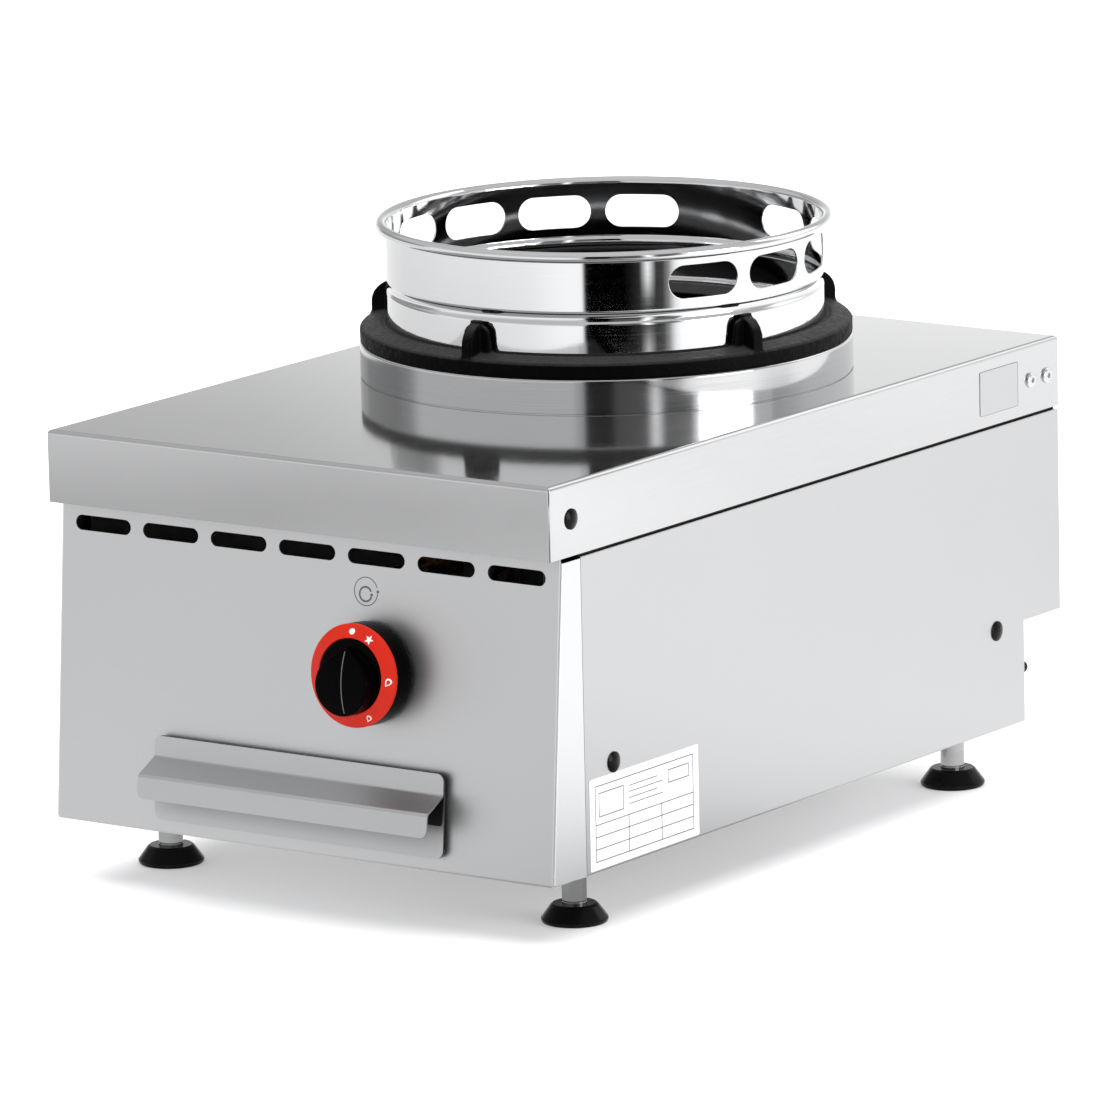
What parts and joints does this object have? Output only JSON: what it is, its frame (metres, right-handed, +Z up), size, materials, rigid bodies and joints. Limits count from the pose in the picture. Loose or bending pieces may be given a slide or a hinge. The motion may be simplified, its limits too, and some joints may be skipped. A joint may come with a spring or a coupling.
{
  "type": "wok burner",
  "caption": "Countertop gas wok burner: sheet-steel body on adjustable feet, raised collar with lift-off iron ring and slotted wok ring, push-and-turn knob and pull-out drip tray.",
  "frame": {"origin": "on the floor under the middle of the outline, between the front of the knob grip and the rear of the hob", "axes": "+Z up, +X to the right seen from the front, +Y from the front to the rear"},
  "size_m": [0.4048, 0.6266, 0.405],
  "materials": {
    "hob_steel": "fine satin stainless, near mirror on the flat top",
    "collar_steel": "brushed round the collar",
    "panel_steel": "fine horizontal brushed stainless",
    "inner_steel": "plain mill-finish sheet",
    "polished_steel": "mirror polished",
    "cast_iron": "rough black cast iron",
    "cap_black": "black enamelled iron",
    "brass": "turned brass",
    "copper_tube": "drawn copper",
    "fastener_steel": "zinc bright",
    "sleeve_steel": "turned stainless",
    "badge_steel": "blank satin plate",
    "label_white": "blank satin label film",
    "knob_black": "moulded gloss black",
    "knob_red": "moulded gloss red",
    "plug_black": "moulded black",
    "foot_black": "moulded satin black"
  },
  "bodies": {
    "chassis": {"hob_top": "hob_steel", "hob_collar": "collar_steel", "front_panel": "panel_steel", "side_panel_left": "panel_steel", "side_panel_right": "panel_steel", "rear_panel": "panel_steel", "base_panel": "inner_steel", "spill_bowl": "inner_steel", "burner_bracket": "inner_steel", "burner_body": "cast_iron", "burner_bolts": "fastener_steel", "injector_holder": "brass", "injector": "brass", "supply_pipe": "copper_tube", "gas_valve": "brass", "valve_nut": "fastener_steel", "gas_rail": "inner_steel", "gas_inlet": "brass", "inlet_locknut": "fastener_steel", "pilot_bracket": "inner_steel", "pilot_burner": "brass", "pilot_pipe": "copper_tube", "thermocouple": "copper_tube", "tray_runner_left": "inner_steel", "tray_runner_right": "inner_steel", "foot_studs": "fastener_steel", "foot_nuts": "fastener_steel", "side_plugs": "plug_black", "rear_caps": "plug_black", "hob_screws": "fastener_steel", "rear_screws": "fastener_steel", "badge_plate": "badge_steel", "data_plate": "label_white"},
    "drip_tray": {"drip_tray": "inner_steel", "tray_front": "panel_steel", "tray_handle": "panel_steel"},
    "valve_plunger": {"valve_plunger": "brass"},
    "control_knob": {"knob_spindle": "fastener_steel", "knob": "knob_black", "knob_ring": "knob_red"},
    "support_ring": {"pan_support_ring": "cast_iron"},
    "wok_ring": {"wok_ring": "polished_steel"},
    "burner_crown": {"burner_crown": "brass"},
    "burner_cap": {"burner_cap": "cap_black"},
    "foot_fl": {"foot_sleeve_fl": "sleeve_steel", "foot_pad_fl": "foot_black"},
    "foot_fr": {"foot_sleeve_fr": "sleeve_steel", "foot_pad_fr": "foot_black"},
    "foot_rl": {"foot_sleeve_rl": "sleeve_steel", "foot_pad_rl": "foot_black"},
    "foot_rr": {"foot_sleeve_rr": "sleeve_steel", "foot_pad_rr": "foot_black"}
  },
  "joints": [
    {"name": "tray_slide", "type": "slide", "parent": "chassis", "child": "drip_tray", "axis": [0, -1, 0], "range_m": [0, 0.4]},
    {"name": "knob_push", "type": "slide", "parent": "chassis", "child": "valve_plunger", "axis": [0, 0.997, -0.0776], "range_m": [0, 0.0035], "stiffness_N_per_m": 2500, "springref_m": -0.004},
    {"name": "knob_turn", "type": "hinge", "parent": "valve_plunger", "child": "control_knob", "pos_m": [0.0547, -0.28017, 0.16466], "axis": [0, -0.997, 0.0776], "range_deg": [0, 157]},
    {"name": "support_ring_lift", "type": "slide", "parent": "chassis", "child": "support_ring", "axis": [0, 0, 1], "range_m": [0, 0.15]},
    {"name": "wok_ring_lift", "type": "slide", "parent": "support_ring", "child": "wok_ring", "axis": [0, 0, 1], "range_m": [0, 0.15]},
    {"name": "burner_crown_lift", "type": "slide", "parent": "chassis", "child": "burner_crown", "axis": [0, 0, 1], "range_m": [0, 0.15]},
    {"name": "burner_cap_lift", "type": "slide", "parent": "burner_crown", "child": "burner_cap", "axis": [0, 0, 1], "range_m": [0, 0.12]},
    {"name": "foot_fl_height", "type": "slide", "parent": "chassis", "child": "foot_fl", "axis": [0, 0, -1], "range_m": [0, 0.015]},
    {"name": "foot_fr_height", "type": "slide", "parent": "chassis", "child": "foot_fr", "axis": [0, 0, -1], "range_m": [0, 0.015]},
    {"name": "foot_rl_height", "type": "slide", "parent": "chassis", "child": "foot_rl", "axis": [0, 0, -1], "range_m": [0, 0.015]},
    {"name": "foot_rr_height", "type": "slide", "parent": "chassis", "child": "foot_rr", "axis": [0, 0, -1], "range_m": [0, 0.015]}
  ]
}
